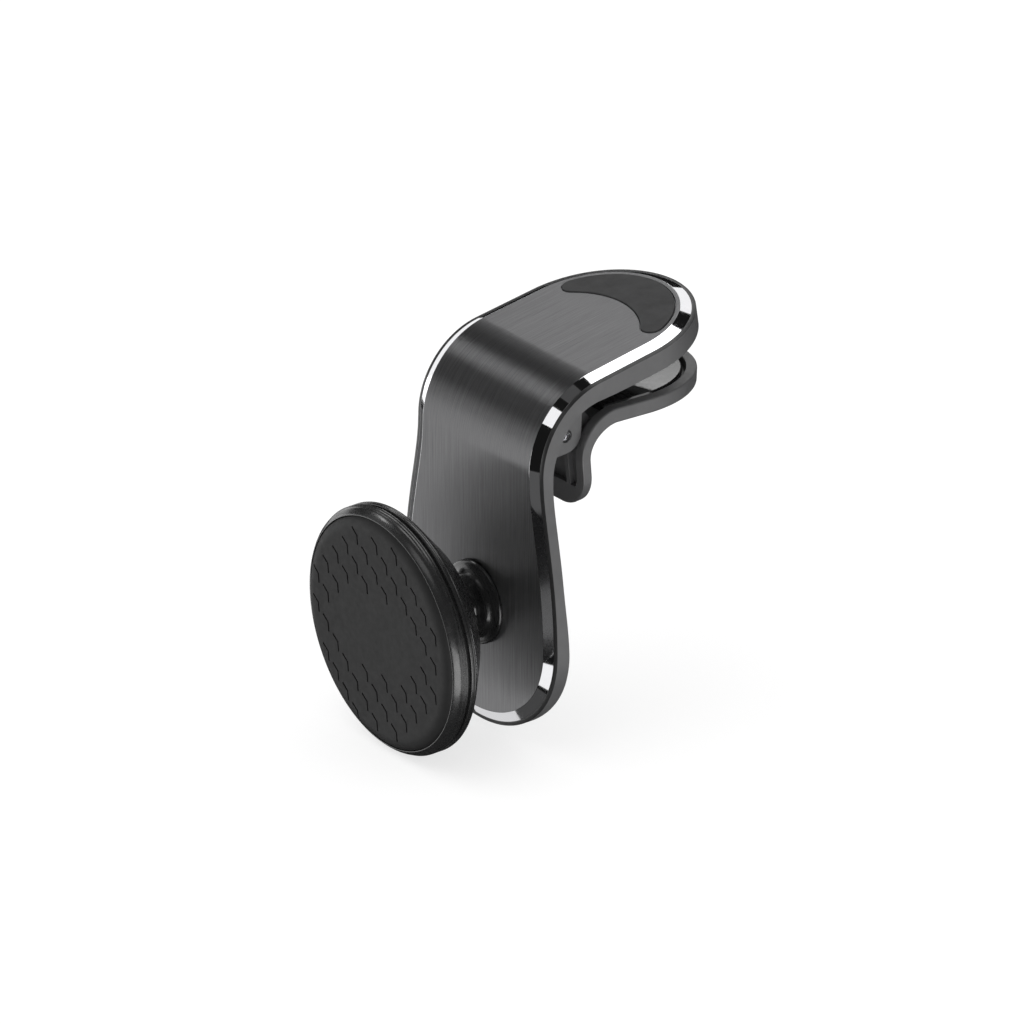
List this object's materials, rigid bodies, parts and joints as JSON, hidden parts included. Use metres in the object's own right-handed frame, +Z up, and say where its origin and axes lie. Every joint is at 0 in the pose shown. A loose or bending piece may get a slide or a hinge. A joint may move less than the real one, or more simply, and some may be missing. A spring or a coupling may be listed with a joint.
{
  "type": "car phone mount",
  "caption": "Car vent phone mount: a magnetic head on a ball joint, on a bent brushed metal strip with a sprung clip that grips a vent blade.",
  "frame": {"origin": "middle of the clip jaw, where the vent blade is held", "axes": "+X across the strip, +Y to the back into the vent, +Z up; the head faces -Y"},
  "size_m": [0.0434, 0.0652, 0.0692],
  "materials": {
    "face_plate": "brushed along the strip, polished bevel",
    "plate_adhesive": "bonding film",
    "rear_frame": "satin moulded",
    "crescent_pad": "fine texture",
    "upper_jaw_pad": "ribbed",
    "ball_stud": "black, satin",
    "stud_screw": "zinc plated",
    "lock_washer": "spring steel",
    "hinge_pin": "polished",
    "torsion_spring": "music wire",
    "clip_lever": "satin moulded",
    "lower_jaw_pad": "glossy",
    "socket_liner": "acetal, natural",
    "socket_cup": "moulded",
    "collar_nut": "moulded, knurled",
    "rear_cover": "satin gloss",
    "trim_band": "moulded",
    "front_ring": "satin gloss",
    "front_pad": "silicone, grooved",
    "shield_plate": "zinc plated",
    "magnets": "nickel plated",
    "magnet_carrier": "moulded",
    "carrier_screws": "zinc plated",
    "wave_washer": "spring steel"
  },
  "bodies": {
    "mount_body": {"face_plate": "face_plate", "plate_adhesive": "plate_adhesive", "rear_frame": "rear_frame", "crescent_pad": "crescent_pad", "upper_jaw_pad": "upper_jaw_pad", "ball_stud": "ball_stud", "stud_screw": "stud_screw", "lock_washer": "lock_washer", "hinge_pin": "hinge_pin", "torsion_spring": "torsion_spring"},
    "clip": {"clip_lever": "clip_lever", "lower_jaw_pad": "lower_jaw_pad"},
    "liner": {"socket_liner": "socket_liner"},
    "socket": {"socket_cup": "socket_cup", "collar_nut": "collar_nut"},
    "magnet_head": {"rear_cover": "rear_cover", "trim_band": "trim_band", "front_ring": "front_ring", "front_pad": "front_pad", "shield_plate": "shield_plate", "magnets": "magnets", "magnet_carrier": "magnet_carrier", "carrier_screws": "carrier_screws", "wave_washer": "wave_washer"}
  },
  "joints": [
    {"name": "clip_hinge", "type": "hinge", "parent": "mount_body", "child": "clip", "pos_m": [0, -0.0212, -0.0054], "axis": [1, 0, 0], "range_deg": [-25, 13], "stiffness_Nm_per_rad": 0.12, "springref_deg": 57.3, "deforming": ["torsion_spring"]},
    {"name": "head_tilt", "type": "hinge", "parent": "mount_body", "child": "liner", "pos_m": [0, -0.0385, -0.0376], "axis": [1, 0, 0], "range_deg": [-22, 18]},
    {"name": "head_turn", "type": "hinge", "parent": "liner", "child": "socket", "pos_m": [0, -0.0385, -0.0376], "axis": [0, -0.0384, 0.9993], "range_deg": [-17, 23]},
    {"name": "head_spin", "type": "hinge", "parent": "socket", "child": "magnet_head", "pos_m": [0, -0.0385, -0.0376], "axis": [-0.0506, -0.998, -0.0383], "continuous": true}
  ]
}
